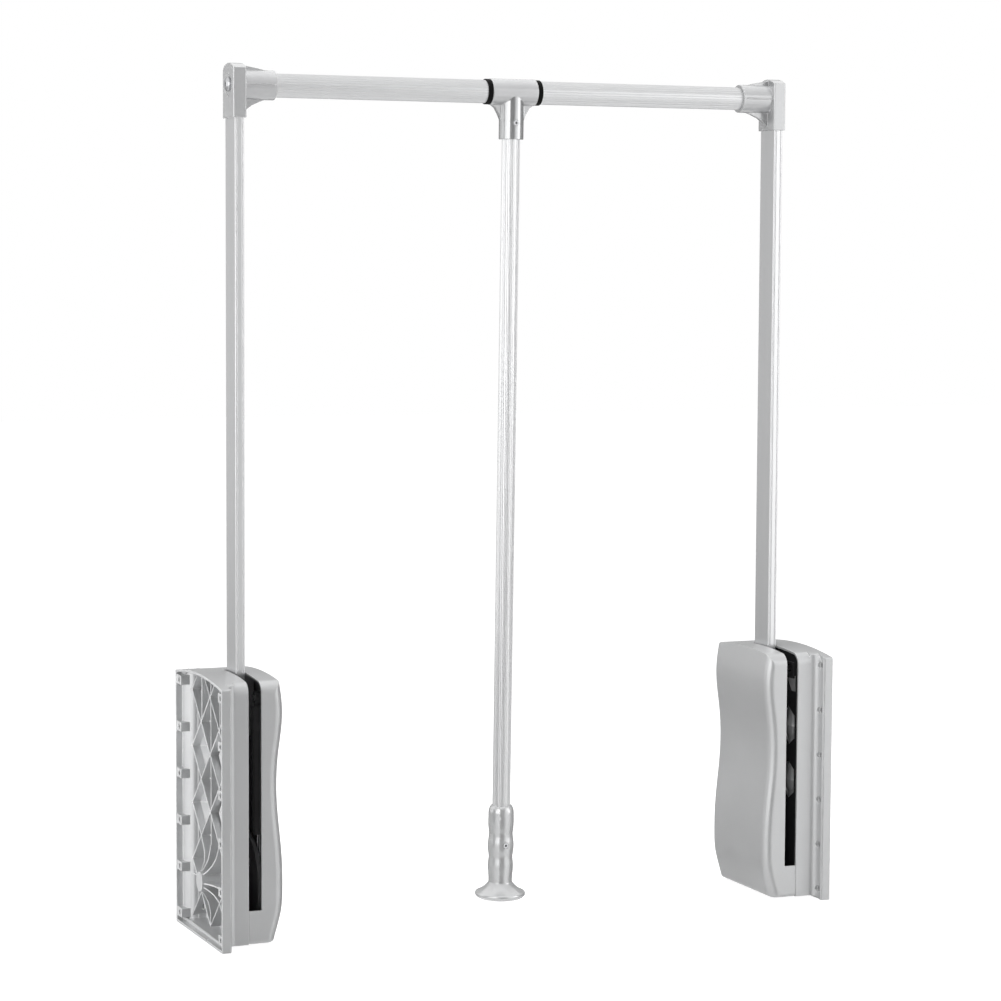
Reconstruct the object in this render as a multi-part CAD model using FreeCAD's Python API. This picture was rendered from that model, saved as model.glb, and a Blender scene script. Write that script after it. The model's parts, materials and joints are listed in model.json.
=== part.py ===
"""Pull down closet rod: two wall housings carry a telescoping bar on two swinging arms.

Frame: millimetres, +X along the bar, +Y into the closet, +Z up.
Origin: middle of the width and of the depth, on the level of the housings' lower edges.
Each side is modelled once, with x as the distance from its side wall, and placed twice.
"""
import FreeCAD, Part
import math
import os

Vec = FreeCAD.Vector

# ---------------------------------------------------------------- driving dimensions
WIDTH = 670.0            # wall to wall, bar pushed together
HALF_WIDTH = WIDTH / 2
FLANGE_DEPTH = 156.0     # front to back, over the wall flange
BODY_DEPTH = 124.0       # front to back, over the housing body
CROWN = 264.6            # top of the arched upper edge
SHOULDER = 258.0         # height of the upper edge at the flange corners
WALL = 2.5               # moulded wall thickness

FLANGE = 9.0             # flange thickness, from the wall
SHELL = 32.4             # the mount shell ends here, the slot starts
SLOT_END = 45.4          # inner side of the arm slot
SLOT_FLOOR = 36.0        # lowest point of the arm slot
SLOT_BACK = 18.5         # rear end of the arm slot, behind the arm
BODY_BOTTOM = 2.6        # lower face of the body, above the flange edge
CORNER = 12.0            # radius of the body's upper corners
COVE = 9.0               # radius of the hollow curve between the flange and the body
COVE_CORNER = 14.0
BEAD = 1.35              # radius of the bead along the flange's long edges
BEAD_DEPTH = 75.2        # its distance from the middle of the depth
SHELL_FLOOR = 26.4       # where the floor of the mount shell starts
PLATE_START = 29.4       # black guide plate, beside the arm
PLATE_END = 31.8
RIB_TOP = 12.0           # the lattice ribs stand up to here
RIB = 1.5                # rib thickness
LATTICE_PITCH = 57.5     # height of one diamond
LATTICE_BASE = 10.0      # height of the lowest node on the centre line
LATTICE_STEP = 30.0      # half the width of one diamond
LATTICE_EDGE = 66.0      # the ribs run on into the side walls, up to here
LATTICE_ROWS = 5
POCKET_ROWS = (2, 3)     # rows whose side cells are folded into pockets
POCKET_START = 21.0      # rim of a pocket, from the wall
POCKET_END = 31.6        # its ridge
POCKET_SHEET = 1.8
POCKET_CORNER = 6.0      # its inner corner, beside the centre line
POCKET_RIDGE = (48.0, 34.0)

SCREW_SPACING = 138.0    # flange screw columns, front to back
SCREW_PITCH = 47.6       # flange screw rows
SCREW_BASE = 11.0
SCREW_ROWS = 6
SCREW_HOLE = 2.5         # radius
PAD_START = 1.0          # pads that hold the flange screws, inside the rim
PAD_RISE = 4.0           # above the flange face
PAD_WIDE = 6.8           # half their depth
PAD_HIGH = 4.75          # half their height
SPOT_FACE = 3.6          # radius of the flat round each hole
SPOT_DEPTH = 0.8

PIVOT_Z = 56.0
AXLE = 6.0               # radius
BOSS_RADIUS = 10.0
AXLE_START = 14.0
AXLE_END = 62.0
BUSH = 8.0               # outer radius of the pivot bush
RUNNING = 0.05           # radial running clearance
HUB_RADIUS = 50.0
HUB_START = 46.2
HUB_END = 50.0
CRANK = 28.0             # pivot to crank pin
CRANK_ANGLE = 46.5       # degrees above the horizontal, arms up
CRANK_PIN = 4.0          # radius
YOKE_START = 51.0
YOKE_END = 57.6
YOKE_DEPTH = 25.2
YOKE_RISE = 9.5          # half its height
YOKE_WALL = 3.8
YOKE_PLAY = 1.4          # above and below the crank pin
SPRING_X = 54.0          # axis of the gas spring, from the wall
SPRING_RADIUS = 5.8
SPRING_BOTTOM = 104.5
SPRING_TOP = 232.0
PISTON_Z = 203.0
ANCHOR_Z = 241.0
ROD_RADIUS = 3.0

ARM_START = 34.4         # outer side of the arm, from the wall
ARM_THICK = 9.5
ARM_DEPTH = 31.0
ARM_WALL = 1.5
ARM_TOP = 851.0
ARM_CORNER = 1.0         # radius of its long edges
ARM_GROOVE = 0.35        # radius of the fine grooves in its narrow faces
ARM_GROOVE_OFFSET = 2.6  # from the middle of the face
ARM_END = ARM_START + ARM_THICK
ARM_MID = ARM_START + ARM_THICK / 2

BAR_Z = 842.0            # axis of the hanging bar
BAR_RADIUS = 11.75
BAR_BORE = 10.15
BAR_START = 52.0         # the tube's hidden end in the corner connector
CENTRE_RADIUS = 9.9      # inner telescoping tube
CENTRE_BORE = 8.4
CENTRE_LENGTH = 500.0
TEE_X = -2.0
TEE_LENGTH = 49.5
TEE_RADIUS = 13.3
RING_LENGTH = 4.8
RING_GAP = 0.3
STEM_RADIUS = 12.6
STEM_BOTTOM = 794.5

BLOCK_SIDE = 1.85        # wall of the corner connector beside the arm
BLOCK_DEPTH = 35.4
BLOCK_BOTTOM = 809.5
BLOCK_TOP = 862.8
BLOCK_CROWN = 35.0       # radius of its arched top
BLOCK_CORNER = 8.0       # radius of its upper rear corner
PARTING_RIDGE = 0.5      # how far the mould line stands out of the socket
SOCKET_RADIUS = 14.5
SOCKET_END = 79.0

PULL_RADIUS = 9.2
PULL_BORE = 7.7
PULL_TOP = 826.0
PULL_BOTTOM = 60.0
GRIP_TOP = 107.5
GRIP_BOTTOM = 10.5
ROD_LEAN = 1.35          # degrees that the pull rod hangs back
FLUTES = 28

# How far the cover stands from the wall at each height: out, in and out again.
COVER_WAVE = [(59.6, BODY_BOTTOM), (61.4, 9.5), (64.8, 21.0), (68.4, 37.0), (69.4, 60.0), (68.4, 90.0),
              (65.0, 125.0), (63.2, 160.0), (65.0, 190.0), (69.0, 224.0), (68.0, 247.0), (64.8, CROWN + 4)]
COVER_EDGE = 9.0         # radius of the cover's long inner edges
COVER_FOOT = 4.0         # radius of its lower edge
COVER_BOSS = 67.0        # the bosses inside the cover reach this far from the wall

# Screws, as (y, z) from the origin, and what follows from the dimensions above.
COVER_SCREWS = [(50.0, 236.0), (50.0, 97.0), (50.0, 20.0), (-50.0, 20.0)]
PLATE_SCREWS = [(-43.0, 244.0), (43.0, 22.0), (-22.0, 14.5), (22.0, 14.5)]
SCREW_CORE = 1.3         # radius of their tapped holes
SCREW_BOSS = 4.0         # radius of the bosses round them
SCREW_BOSS_START = 20.0
COVER_SHANK = 1.7        # radius of the cover screws' clearance holes
COVER_HEAD = 3.9         # radius of the counterbores for their heads
COVER_HEAD_SEAT = 22.6
CONNECTOR_RECESS = 10.6  # radius of the recess round the connector screw
SPOKE_ENDS = [(0.0, 92.0), (0.0, 11.0), (-30.0, 96.25), (30.0, 96.25), (-30.0, 38.75), (30.0, 38.75),
              (-58.0, 52.0), (58.0, 52.0)]
SPOKE_SLOPE = [(2.0, 9.0), (6.0, 14.0), (10.0, 22.0), (12.0, 32.0)]  # (from the wall, from the pivot)
RIVET_HEIGHTS = (PIVOT_Z + 24, PIVOT_Z + 42)
RIVET = 3.0              # radius
CONNECTOR_SHANK = 3.0    # radius
SCREW_FACE = ARM_START - BLOCK_SIDE + 1.0
SET_SCREW = 2.0          # radius of the screws in the pull rod
SET_HEAD = 2.6
SET_SOCKET = 1.3         # radius of the socket in their heads
SET_SOCKET_DEPTH = 2.2
TEE_SCREW_Z = 811.0
TEE_SCREW_SEAT = 11.9    # from the axis of the rod to the flat under the screw's head
GRIP_SCREW_Z = 67.0
GRIP_SCREW_SEAT = 12.6
CRANK_Y = -CRANK * math.cos(math.radians(CRANK_ANGLE))
CRANK_Z = PIVOT_Z + CRANK * math.sin(math.radians(CRANK_ANGLE))
SPRING_Y = (CRANK_Y - CRANK) / 2

written = []


# ---------------------------------------------------------------- small tools
def box(x, y, z):
    """A box from three (low, high) pairs."""
    size = (x[1] - x[0], y[1] - y[0], z[1] - z[0])
    return Part.makeBox(*size, Vec(x[0], y[0], z[0]))


def peg(radius, start, end, y, z):
    """A cylinder along X."""
    return Part.makeCylinder(radius, end - start, Vec(start, y, z), Vec(1, 0, 0))


def tube(outer, inner, start, end, y, z):
    """A hollow cylinder along X."""
    return peg(outer, start, end, y, z).cut(peg(inner, start - 1, end + 1, y, z))


def post(radius, x, y, low, high):
    """A cylinder along Z."""
    return Part.makeCylinder(radius, high - low, Vec(x, y, low), Vec(0, 0, 1))


def plate(points, x):
    """A plate from (y, z) corners, between the two x values of a pair."""
    corners = [Vec(x[0], y, z) for y, z in points]
    face = Part.Face(Part.makePolygon(corners + corners[:1]))
    return face.extrude(Vec(x[1] - x[0], 0, 0))


def web(points, y):
    """A plate from (x, z) corners, between the two y values of a pair."""
    corners = [Vec(px, y[0], z) for px, z in points]
    face = Part.Face(Part.makePolygon(corners + corners[:1]))
    return face.extrude(Vec(0, y[1] - y[0], 0))


def joined(shapes):
    """One clean solid from overlapping ones."""
    return shapes[0].multiFuse(shapes[1:]).removeSplitter()


def along_x(edge):
    """Whether an edge is a straight line along X."""
    ends = [vertex.Point for vertex in edge.Vertexes]
    return len(ends) == 2 and abs(abs(ends[1].x - ends[0].x) - edge.Length) < 0.001


def arch_height(y, inset=0.0):
    """Height of the arched top at depth y."""
    rise = CROWN - SHOULDER
    half = FLANGE_DEPTH / 2
    radius = (half ** 2 + rise ** 2) / (2 * rise)
    return CROWN - radius + math.sqrt((radius - inset) ** 2 - y ** 2)


def arched_block(x, half_depth, bottom, corner, inset=0.0):
    """A block with the arched top and two rounded upper corners."""
    half = half_depth - inset
    side = arch_height(half, inset)
    low = bottom + inset
    start = Vec(x[0], -half, side)
    end = Vec(x[0], half, side)
    arch = Part.Arc(start, Vec(x[0], 0, arch_height(0, inset)), end).toShape()
    base = Part.makePolygon([end, Vec(x[0], half, low), Vec(x[0], -half, low), start])
    block = Part.Face(Part.Wire([arch] + base.Edges)).extrude(Vec(x[1] - x[0], 0, 0))
    upper = [edge for edge in block.Edges if along_x(edge) and edge.BoundBox.ZMin > low + 50]
    return block.makeFillet(corner - inset, upper) if corner > inset else block


def screw_places():
    """The (y, z) centres of the flange screw holes."""
    columns = (-SCREW_SPACING / 2, SCREW_SPACING / 2)
    return [(y, SCREW_BASE + row * SCREW_PITCH) for row in range(SCREW_ROWS) for y in columns]


# ---------------------------------------------------------------- housing, wall side
def rib(start, end, top=RIB_TOP):
    """An upright rib between two (y, z) points on the floor of the mount shell."""
    run = math.hypot(end[0] - start[0], end[1] - start[1])
    side = Vec(-(end[1] - start[1]), end[0] - start[0], 0) * (RIB / 2 / run)
    corners = [(start[0] + side.x, start[1] + side.y), (end[0] + side.x, end[1] + side.y),
               (end[0] - side.x, end[1] - side.y), (start[0] - side.x, start[1] - side.y)]
    return plate(corners, (top, SHELL_FLOOR + 0.5))


def spoke(end):
    """A rib from the pivot boss to a (y, z) point, sloping from the boss to the level of the ribs."""
    run, rise = end[0], end[1] - PIVOT_Z
    length = math.hypot(run, rise)
    root = BOSS_RADIUS - 4
    corners = [(SHELL_FLOOR + 0.5, root), (SPOKE_SLOPE[0][0], root)] + SPOKE_SLOPE
    corners += [(RIB_TOP, length), (SHELL_FLOOR + 0.5, length)]
    blade = web(corners, (-RIB / 2, RIB / 2))
    blade.rotate(Vec(0, 0, 0), Vec(1, 0, 0), -math.degrees(math.atan2(run, rise)))
    blade.translate(Vec(0, 0, PIVOT_Z))
    return blade


def lattice():
    """Diamond ribs, upright ribs through them and spokes round the pivot boss."""
    ribs = [spoke(end) for end in SPOKE_ENDS]
    half_pitch = LATTICE_PITCH / 2
    rise = half_pitch * (LATTICE_EDGE / LATTICE_STEP - 1)
    for row in range(LATTICE_ROWS):
        centre = (0, LATTICE_BASE + row * LATTICE_PITCH)
        for side in (-1, 1):
            node = (side * LATTICE_STEP, centre[1] + half_pitch)
            edge = side * LATTICE_EDGE
            ribs += [rib(node, (edge, node[1] + rise)), rib(node, (edge, node[1] - rise))]
            if row != 0:
                ribs.append(rib(node, (0, centre[1] + LATTICE_PITCH)))
            if row != 1:
                ribs.append(rib(centre, node))
            ribs.append(rib(node, (side * 8, node[1]), RIB_TOP + 9))
    ribs.append(rib((0, SPOKE_ENDS[0][1] - 2), (0, CROWN), RIB_TOP + 1))
    for side in (-1, 1):
        ribs.append(rib((side * LATTICE_STEP, 211), (side * LATTICE_STEP, CROWN), RIB_TOP + 1))
    return ribs


def cell_corners(side, row, outer, inner, rise=LATTICE_PITCH / 2):
    """The four (y, z) corners of a side cell of the lattice."""
    middle = LATTICE_BASE + row * LATTICE_PITCH
    return [(side * outer, middle), (side * LATTICE_STEP, middle + rise),
            (side * inner, middle), (side * LATTICE_STEP, middle - rise)]


def roof(side, row, shift):
    """A diamond block with a hipped roof, the shape of one pocket."""
    ground = POCKET_START - 6
    corners = cell_corners(side, row, 2 * LATTICE_STEP, POCKET_CORNER)
    low = [Vec(ground, y, z) for y, z in corners]
    high = [Vec(POCKET_START + shift, y, z) for y, z in corners]
    ridge = [Vec(POCKET_END + shift, side * y, corners[0][1]) for y in POCKET_RIDGE]
    outer, top, inner, bottom = high
    faces = [low, [outer, top, ridge[0]], [top, ridge[1], ridge[0]], [top, inner, ridge[1]],
             [inner, bottom, ridge[1]], [bottom, ridge[0], ridge[1]], [bottom, outer, ridge[0]]]
    for number in range(4):
        after = (number + 1) % 4
        faces.append([low[number], low[after], high[after], high[number]])
    shell = Part.makeShell([Part.Face(Part.makePolygon(points + points[:1])) for points in faces])
    block = Part.makeSolid(shell)
    if block.Volume < 0:
        block.reverse()
    return block


def pockets():
    """The folded floors of the side cells, and the openings in the flat floor that they fill."""
    places = [(side, row) for row in POCKET_ROWS for side in (-1, 1)]
    sheets = [roof(side, row, 0).cut(roof(side, row, -POCKET_SHEET)) for side, row in places]
    rise = LATTICE_PITCH / 2 - 2.0
    openings = [plate(cell_corners(side, row, 58.0, 2.0, rise), (SHELL_FLOOR - 1, PLATE_START + 1))
                for side, row in places]
    return sheets, openings


def coved_block(radius, start):
    """A block whose long sides sweep out to the flange in a hollow curve."""
    centre = BODY_DEPTH / 2 + COVE
    turn = FLANGE + COVE
    slant = radius * math.sqrt(0.5)
    arcs = []
    for side in (-1, 1):
        foot = Vec(turn - radius, side * centre, 0)
        middle = Vec(turn - slant, side * (centre - slant), 0)
        arcs.append(Part.Arc(foot, middle, Vec(turn, side * (centre - radius), 0)).toShape())
    outline = [Part.makeLine(Vec(start, -centre, 0), Vec(turn - radius, -centre, 0)), arcs[0],
               Part.makeLine(Vec(turn, radius - centre, 0), Vec(turn, centre - radius, 0)), arcs[1],
               Part.makeLine(Vec(turn - radius, centre, 0), Vec(start, centre, 0)),
               Part.makeLine(Vec(start, centre, 0), Vec(start, -centre, 0))]
    return Part.Face(Part.Wire(outline)).extrude(Vec(0, 0, CROWN))


def shell_body():
    """The body of the mount shell, with the coves and the beads beside it."""
    wide = BODY_DEPTH / 2 + COVE
    block = arched_block((FLANGE - 1, SHELL), BODY_DEPTH / 2, BODY_BOTTOM, CORNER)
    limit = arched_block((FLANGE - 1, FLANGE + COVE), wide, BODY_BOTTOM, COVE_CORNER)
    coved = coved_block(COVE, FLANGE - 1).common(limit)
    beads = [post(BEAD, FLANGE, side * BEAD_DEPTH, 0, CROWN) for side in (-1, 1)]
    rim = arched_block((FLANGE - 1, FLANGE + 2 * BEAD), FLANGE_DEPTH / 2, 0, 2.0)
    return block.multiFuse([coved] + [bead.common(rim) for bead in beads])


def mount_shell():
    """The moulding that is screwed to the wall: flange, body, lattice, bosses."""
    half_flange = FLANGE_DEPTH / 2
    half_body = BODY_DEPTH / 2
    outer = arched_block((0, FLANGE), half_flange, 0, 2.0).fuse(shell_body())
    flange_hollow = arched_block((-1, FLANGE - 2.2), half_flange, 0, 2.0, WALL)
    body_hollow = arched_block((-1, SHELL_FLOOR), half_body - 0.6, BODY_BOTTOM, CORNER, WALL)
    cove_limit = arched_block((-1, FLANGE + COVE), half_body + COVE, BODY_BOTTOM, COVE_CORNER, WALL)
    cove_hollow = coved_block(COVE + WALL, 1.0).common(cove_limit)
    seat = arched_block((PLATE_START, SHELL + 1), half_body, BODY_BOTTOM, CORNER, WALL)
    room = body_hollow.multiFuse([cove_hollow, seat])
    sheets, openings = pockets()
    inside = arched_block((-1, SHELL + 1), half_body - 0.6, BODY_BOTTOM, CORNER, WALL)
    ribs = [piece.common(room) for piece in lattice()] + [sheet.common(inside) for sheet in sheets]
    solid = outer.cut(flange_hollow).cut(room).cut(Part.makeCompound(openings))
    pads = []
    for y, z in screw_places():
        pad = box((PAD_START, FLANGE + PAD_RISE), (y - PAD_WIDE, y + PAD_WIDE), (z - PAD_HIGH, z + PAD_HIGH))
        pads.append(pad.common(outer))
    boss = peg(BOSS_RADIUS, 0.6, SHELL_FLOOR + 1, 0, PIVOT_Z)
    inner_screws = PLATE_SCREWS + COVER_SCREWS
    bosses = [peg(SCREW_BOSS, SCREW_BOSS_START, SHELL_FLOOR + 1, y, z) for y, z in inner_screws]
    solid = joined([solid] + ribs + pads + [boss] + bosses)
    holes = [peg(SCREW_HOLE, -1, FLANGE + 1, y, z) for y, z in screw_places()]
    holes += [peg(SPOT_FACE, FLANGE - SPOT_DEPTH, FLANGE + 6, y, z) for y, z in screw_places()]
    low = SCREW_BOSS_START - 1
    holes += [peg(SCREW_CORE, low, PLATE_START + 1, y, z) for y, z in PLATE_SCREWS]
    holes += [peg(COVER_SHANK, low, PLATE_START + 1, y, z) for y, z in COVER_SCREWS]
    holes += [peg(COVER_HEAD, low, COVER_HEAD_SEAT, y, z) for y, z in COVER_SCREWS]
    holes.append(peg(AXLE, AXLE_START, SHELL + 1, 0, PIVOT_Z))
    holes.append(box((-1, 2.2), (-25.5, -22.5), (-1, WALL + 0.5)))
    return solid.cut(Part.makeCompound(holes))


def guide_plate():
    """The black truss plate between the mount shell and the arm."""
    through = (PLATE_START - 1, PLATE_END + 1)
    solid = arched_block((PLATE_START, PLATE_END), BODY_DEPTH / 2, BODY_BOTTOM, CORNER, WALL + 0.2)
    windows = []
    for row in POCKET_ROWS:
        middle = LATTICE_BASE + row * LATTICE_PITCH
        windows += [window(side * LATTICE_STEP * 1.33, middle, 14.0) for side in (-1, 1)]
        windows.append(window(0, middle + LATTICE_PITCH / 2, 11.0))
    low = LATTICE_BASE + 3.65 * LATTICE_PITCH
    for side in (-1, 1):
        points = [(side * 55, low), (side * 43, low), (side * 30, low + 17), (side * 55, low + 17)]
        windows.append(plate(points, through))
    eye_y, eye_z = PLATE_SCREWS[0]
    pad = box((PLATE_END - 0.5, PLATE_END + 1.4), (eye_y - 9, eye_y + 7), (eye_z - 10, eye_z + 7))
    pad = pad.cut(peg(4.6, PLATE_END, PLATE_END + 2, eye_y, eye_z))
    solid = joined([solid.cut(Part.makeCompound(windows)), pad])
    holes = [peg(4.6, *through, y, z) for y, z in COVER_SCREWS]
    holes += [peg(SCREW_CORE, *through, y, z) for y, z in PLATE_SCREWS]
    holes.append(peg(AXLE, *through, 0, PIVOT_Z))
    return solid.cut(Part.makeCompound(holes))


def window(y, z, wide):
    """One six-sided window of the guide plate."""
    tall, flat = 21.0, 12.0
    points = [(y, z + tall), (y + wide, z + flat), (y + wide, z - flat),
              (y, z - tall), (y - wide, z - flat), (y - wide, z + flat)]
    return plate(points, (PLATE_START - 1, PLATE_END + 1))


# ---------------------------------------------------------------- housing, cover side
def cover_section(reach, z, inset):
    """A level outline of the cover, rounded where it meets its inner side."""
    half = BODY_DEPTH / 2 - inset
    turn = COVER_EDGE - inset
    far = reach - inset
    slant = turn * (1 - math.sqrt(0.5))
    front = Part.Arc(Vec(far - turn, -half, z), Vec(far - slant, slant - half, z), Vec(far, turn - half, z))
    rear = Part.Arc(Vec(far, half - turn, z), Vec(far - slant, half - slant, z), Vec(far - turn, half, z))
    return Part.Wire([Part.makeLine(Vec(SHELL, -half, z), Vec(far - turn, -half, z)), front.toShape(),
                      Part.makeLine(Vec(far, turn - half, z), Vec(far, half - turn, z)), rear.toShape(),
                      Part.makeLine(Vec(far - turn, half, z), Vec(SHELL, half, z)),
                      Part.makeLine(Vec(SHELL, half, z), Vec(SHELL, -half, z))])


def cover_profile(inset):
    """The wavy block of the cover: its inner side swings out, in and out again."""
    low = BODY_BOTTOM + inset
    wave = [(COVER_WAVE[0][0], low)] + COVER_WAVE[1:]
    sections = [cover_section(reach, z, inset) for reach, z in wave]
    block = Part.makeLoft(sections, True)
    foot = [edge for edge in block.Edges
            if edge.BoundBox.ZMax < low + 0.01 and edge.BoundBox.XMin > SHELL + 1]
    return block.makeFillet(COVER_FOOT - inset, foot)


def inner_cover():
    """The cover on the inner side: hollow, slotted for the arm, with bosses."""
    half = BODY_DEPTH / 2
    reach = (SHELL, 80.0)
    solid = cover_profile(0).common(arched_block(reach, half, BODY_BOTTOM, CORNER))
    hollow_reach = (SHELL - 1, 80.0)
    hollow = cover_profile(WALL).common(arched_block(hollow_reach, half, BODY_BOTTOM, CORNER, WALL))
    solid = solid.cut(hollow)
    stop_wall = box((SHELL + 0.2, 64.0), (SLOT_BACK, SLOT_BACK + WALL), (196, CROWN)).common(hollow)
    bosses = [peg(4.2, PLATE_START + 0.2, COVER_BOSS, y, z) for y, z in COVER_SCREWS]
    inside = hollow.fuse(box((PLATE_START, SHELL + 1), (-half + WALL, half - WALL), (BODY_BOTTOM + WALL, 250)))
    parts = [boss.common(inside) for boss in bosses]
    parts.append(peg(9.0, HUB_END + 0.8, COVER_BOSS + 0.5, 0, PIVOT_Z).common(hollow))
    parts.append(peg(5.0, SPRING_X + 5.2, COVER_BOSS + 0.5, SPRING_Y, ANCHOR_Z).common(hollow))
    solid = joined([solid, stop_wall] + parts)
    slot = box((SHELL - 1, SLOT_END), (-half - 1, SLOT_BACK), (SLOT_FLOOR, CROWN + 9))
    holes = [peg(SCREW_CORE, PLATE_START, COVER_BOSS - 17, y, z) for y, z in COVER_SCREWS]
    holes.append(peg(AXLE, HUB_END, AXLE_END, 0, PIVOT_Z))
    holes.append(peg(ROD_RADIUS, SPRING_X, COVER_BOSS - 3, SPRING_Y, ANCHOR_Z))
    return solid.cut(Part.makeCompound([slot] + holes))


def cover_screws():
    """Four screws that hold the cover to the mount shell."""
    face, seat = 20.4, 22.6
    screws = []
    for y, z in COVER_SCREWS:
        screw = joined([peg(3.6, face, seat, y, z), peg(SCREW_CORE, seat - 0.6, COVER_BOSS - 19, y, z)])
        screws.append(screw.cut(hex_socket(face, y, z, 1.5)))
    return Part.makeCompound(screws)


def plate_screws():
    """Four screws that hold the guide plate, the upper front one in a raised eye."""
    screws = []
    for y, z in PLATE_SCREWS:
        head = peg(3.0, PLATE_END, PLATE_END + 1.3, y, z)
        screws.append(joined([head, peg(SCREW_CORE, PLATE_END - 9.8, PLATE_END + 0.5, y, z)]))
    return Part.makeCompound(screws)


def hex_socket(x, y, z, width, depth=1.4):
    """A hexagonal recess that opens towards the wall at x."""
    corners = [(y + width * math.cos(math.radians(a)), z + width * math.sin(math.radians(a)))
               for a in range(0, 360, 60)]
    return plate(corners, (x - 0.01, x + depth))


# ---------------------------------------------------------------- pivot, hub and gas spring
def pivot_axle():
    """The fixed axle, from the boss of the mount shell to the boss of the cover."""
    return peg(AXLE, AXLE_START, AXLE_END, 0, PIVOT_Z)


def thrust_washer():
    """The washer that keeps the arm off the guide plate."""
    return tube(11.0, AXLE, PLATE_END, ARM_START - 0.3, 0, PIVOT_Z)


def pivot_bush():
    """The plain bearing in the foot of the arm."""
    return tube(BUSH, AXLE + RUNNING, ARM_START, HUB_END, 0, PIVOT_Z)


def hub_disc():
    """The black disc that turns with the arm, with the pad that seats the arm."""
    disc = peg(HUB_RADIUS, HUB_START, HUB_END, 0, PIVOT_Z)
    pad = box((ARM_END, HUB_START + 1), (-11, 11), (PIVOT_Z - 14, PIVOT_Z + HUB_RADIUS))
    solid = joined([disc, pad])
    through = (ARM_END - 1, HUB_END + 1)
    holes = [peg(BUSH, *through, 0, PIVOT_Z), peg(CRANK_PIN, *through, CRANK_Y, CRANK_Z)]
    holes += [peg(RIVET, *through, 0, z) for z in RIVET_HEIGHTS]
    return solid.cut(Part.makeCompound(holes))


def hub_rivets():
    """Two rivets that hold the arm to the hub disc."""
    rivets = []
    for z in RIVET_HEIGHTS:
        head = peg(RIVET * 1.5, ARM_START - 1.1, ARM_START, 0, z)
        rivets.append(joined([head, peg(RIVET, ARM_START - 0.5, HUB_END, 0, z)]))
    return Part.makeCompound(rivets)


def crank_pin():
    """The pin on the hub disc that works in the yoke."""
    return peg(CRANK_PIN, HUB_START, YOKE_END + 0.6, CRANK_Y, CRANK_Z)


def rod_yoke():
    """The slotted yoke that the crank pin pulls down."""
    depth = (SPRING_Y - YOKE_DEPTH / 2, SPRING_Y + YOKE_DEPTH / 2)
    block = box((YOKE_START, YOKE_END), depth, (CRANK_Z - YOKE_RISE, CRANK_Z + YOKE_RISE))
    slot_depth = (depth[0] + YOKE_WALL, depth[1] - YOKE_WALL)
    reach = CRANK_PIN + YOKE_PLAY
    slot = box((YOKE_START - 1, YOKE_END + 1), slot_depth, (CRANK_Z - reach, CRANK_Z + reach))
    return block.cut(slot)


def spring_rod():
    """The piston rod with its piston, which follows the yoke."""
    rod = post(ROD_RADIUS, SPRING_X, SPRING_Y, CRANK_Z + YOKE_RISE, PISTON_Z)
    piston = post(SPRING_RADIUS - 1.4, SPRING_X, SPRING_Y, PISTON_Z - 5, PISTON_Z + 5)
    return joined([rod, piston])


def spring_cylinder():
    """The gas spring's tube, with its lower gland and the upper eye."""
    outer = post(SPRING_RADIUS, SPRING_X, SPRING_Y, SPRING_BOTTOM, SPRING_TOP)
    bore = post(SPRING_RADIUS - 1.2, SPRING_X, SPRING_Y, SPRING_BOTTOM + 6, SPRING_TOP - 6)
    gland = post(ROD_RADIUS + RUNNING, SPRING_X, SPRING_Y, SPRING_BOTTOM - 1, SPRING_BOTTOM + 7)
    neck = post(3.4, SPRING_X, SPRING_Y, SPRING_TOP - 1, ANCHOR_Z)
    eye = peg(6.0, SPRING_X - 3.5, SPRING_X + 3.5, SPRING_Y, ANCHOR_Z)
    solid = joined([outer, neck, eye])
    return solid.cut(Part.makeCompound([bore, gland, peg(ROD_RADIUS, 40, 70, SPRING_Y, ANCHOR_Z)]))


def anchor_pin():
    """The pin that the gas spring hangs from."""
    return peg(ROD_RADIUS, SPRING_X - 4.6, COVER_BOSS - 4, SPRING_Y, ANCHOR_Z)


def arm_buffer():
    """The rubber block that the raised arm rests near."""
    return box((ARM_START + 0.6, ARM_END - 0.4), (ARM_DEPTH / 2 + 0.3, SLOT_BACK), (232, 248))


# ---------------------------------------------------------------- arm and corner connector
def flat_section(thickness, depth, corner, low, high):
    """A flat bar with rounded long edges, standing along Z."""
    bar = box((ARM_MID - thickness / 2, ARM_MID + thickness / 2), (-depth / 2, depth / 2), (low, high))
    upright = [edge for edge in bar.Edges if edge.Length > 0.9 * (high - low)]
    return bar.makeFillet(corner, upright)


def arm_tube():
    """The flat arm tube, rounded off below the pivot."""
    low = PIVOT_Z - ARM_DEPTH / 2
    hollow = (ARM_THICK - 2 * ARM_WALL, ARM_DEPTH - 2 * ARM_WALL)
    solid = flat_section(ARM_THICK, ARM_DEPTH, ARM_CORNER, low, ARM_TOP)
    solid = solid.cut(flat_section(*hollow, ARM_CORNER / 2, low - 1, ARM_TOP + 1))
    round_end = peg(ARM_DEPTH / 2, ARM_START - 1, ARM_END + 1, 0, PIVOT_Z)
    foot = box((ARM_START - 1, ARM_END + 1), (-20, 20), (low - 1, PIVOT_Z)).cut(round_end)
    holes = [foot, peg(BUSH, ARM_START - 1, ARM_END + 1, 0, PIVOT_Z)]
    holes += [peg(RIVET, ARM_START - 1, ARM_END + 1, 0, z) for z in RIVET_HEIGHTS]
    holes.append(peg(CONNECTOR_SHANK, ARM_START - 1, ARM_END + 1, 0, BAR_Z))
    for x in (ARM_MID - ARM_GROOVE_OFFSET, ARM_MID + ARM_GROOVE_OFFSET):
        holes += [post(ARM_GROOVE, x, side * ARM_DEPTH / 2, PIVOT_Z + 4, ARM_TOP + 1) for side in (-1, 1)]
    return solid.cut(Part.makeCompound(holes))


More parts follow.
